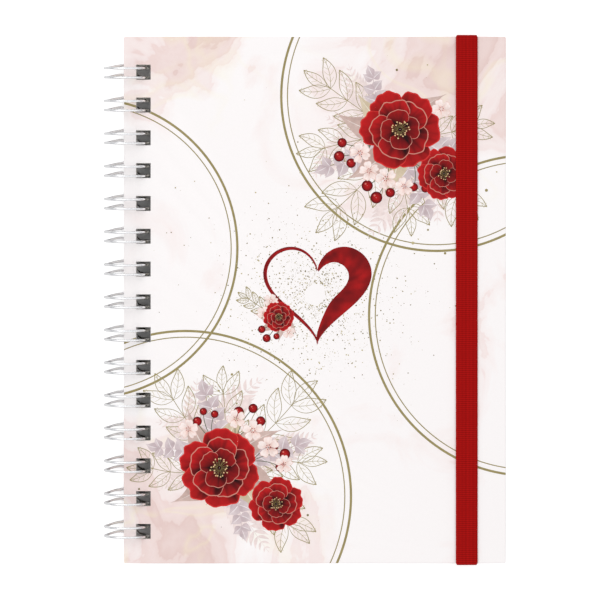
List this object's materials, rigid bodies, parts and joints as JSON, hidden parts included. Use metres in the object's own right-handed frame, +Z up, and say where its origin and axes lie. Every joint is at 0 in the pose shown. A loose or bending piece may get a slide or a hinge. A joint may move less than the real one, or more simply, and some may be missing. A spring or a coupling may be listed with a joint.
{
  "type": "wire-bound notebook",
  "caption": "Hardcover notebook with a printed cover, held by twin-loop wire down its left edge and kept shut by a flat elastic band.",
  "frame": {"origin": "under the middle of the whole notebook, wire and elastic included, at the height of its lowest point", "axes": "+Z up through the closed notebook from the back cover to the front cover, +Y towards the head of the page, -X towards the wire-bound spine"},
  "size_m": [0.156, 0.2054, 0.0179],
  "materials": {
    "greyboard": "matt grey bookbinding board",
    "printed_wrap": "printed paper with a satin film, pale blush",
    "lining_paper": "uncoated off-white paper",
    "leaf_paper": "uncoated white writing paper",
    "silver_wire": "bright plated steel wire",
    "red_elastic": "woven elastic with fine cross ribs, crimson"
  },
  "bodies": {
    "back_cover": {"back_cover_board": "greyboard", "back_cover_wrap": "printed_wrap", "back_cover_lining": "lining_paper", "twin_loop_wire": "silver_wire", "elastic_end_head": "red_elastic", "elastic_end_tail": "red_elastic"},
    "back_leaves": {"back_leaves_1": "leaf_paper", "back_leaves_2": "leaf_paper", "back_leaves_3": "leaf_paper", "back_leaves_4": "leaf_paper"},
    "middle_leaves": {"middle_leaves_1": "leaf_paper", "middle_leaves_2": "leaf_paper", "middle_leaves_3": "leaf_paper", "middle_leaves_4": "leaf_paper"},
    "front_leaves": {"front_leaves_1": "leaf_paper", "front_leaves_2": "leaf_paper", "front_leaves_3": "leaf_paper", "front_leaves_4": "leaf_paper"},
    "front_cover": {"front_cover_board": "greyboard", "front_cover_wrap": "printed_wrap", "front_cover_lining": "lining_paper"},
    "elastic_band": {"elastic_band": "red_elastic"}
  },
  "joints": [
    {"name": "back_leaves_turn", "type": "hinge", "parent": "back_cover", "child": "back_leaves", "pos_m": [-0.06899, 0, 0.00899], "axis": [0, -1, 0], "range_deg": [0, 180]},
    {"name": "middle_leaves_turn", "type": "hinge", "parent": "back_leaves", "child": "middle_leaves", "pos_m": [-0.06899, 0, 0.00899], "axis": [0, -1, 0], "range_deg": [0, 180]},
    {"name": "front_leaves_turn", "type": "hinge", "parent": "middle_leaves", "child": "front_leaves", "pos_m": [-0.06899, 0, 0.00899], "axis": [0, -1, 0], "range_deg": [0, 180]},
    {"name": "front_cover_turn", "type": "hinge", "parent": "front_leaves", "child": "front_cover", "pos_m": [-0.06899, 0, 0.00899], "axis": [0, -1, 0], "range_deg": [0, 180]},
    {"name": "elastic_band_swing", "type": "hinge", "parent": "back_cover", "child": "elastic_band", "pos_m": [0.06281, 0, 0.00181], "axis": [0, 1, 0], "range_deg": [0, 180], "deforming": ["elastic_band"]}
  ]
}
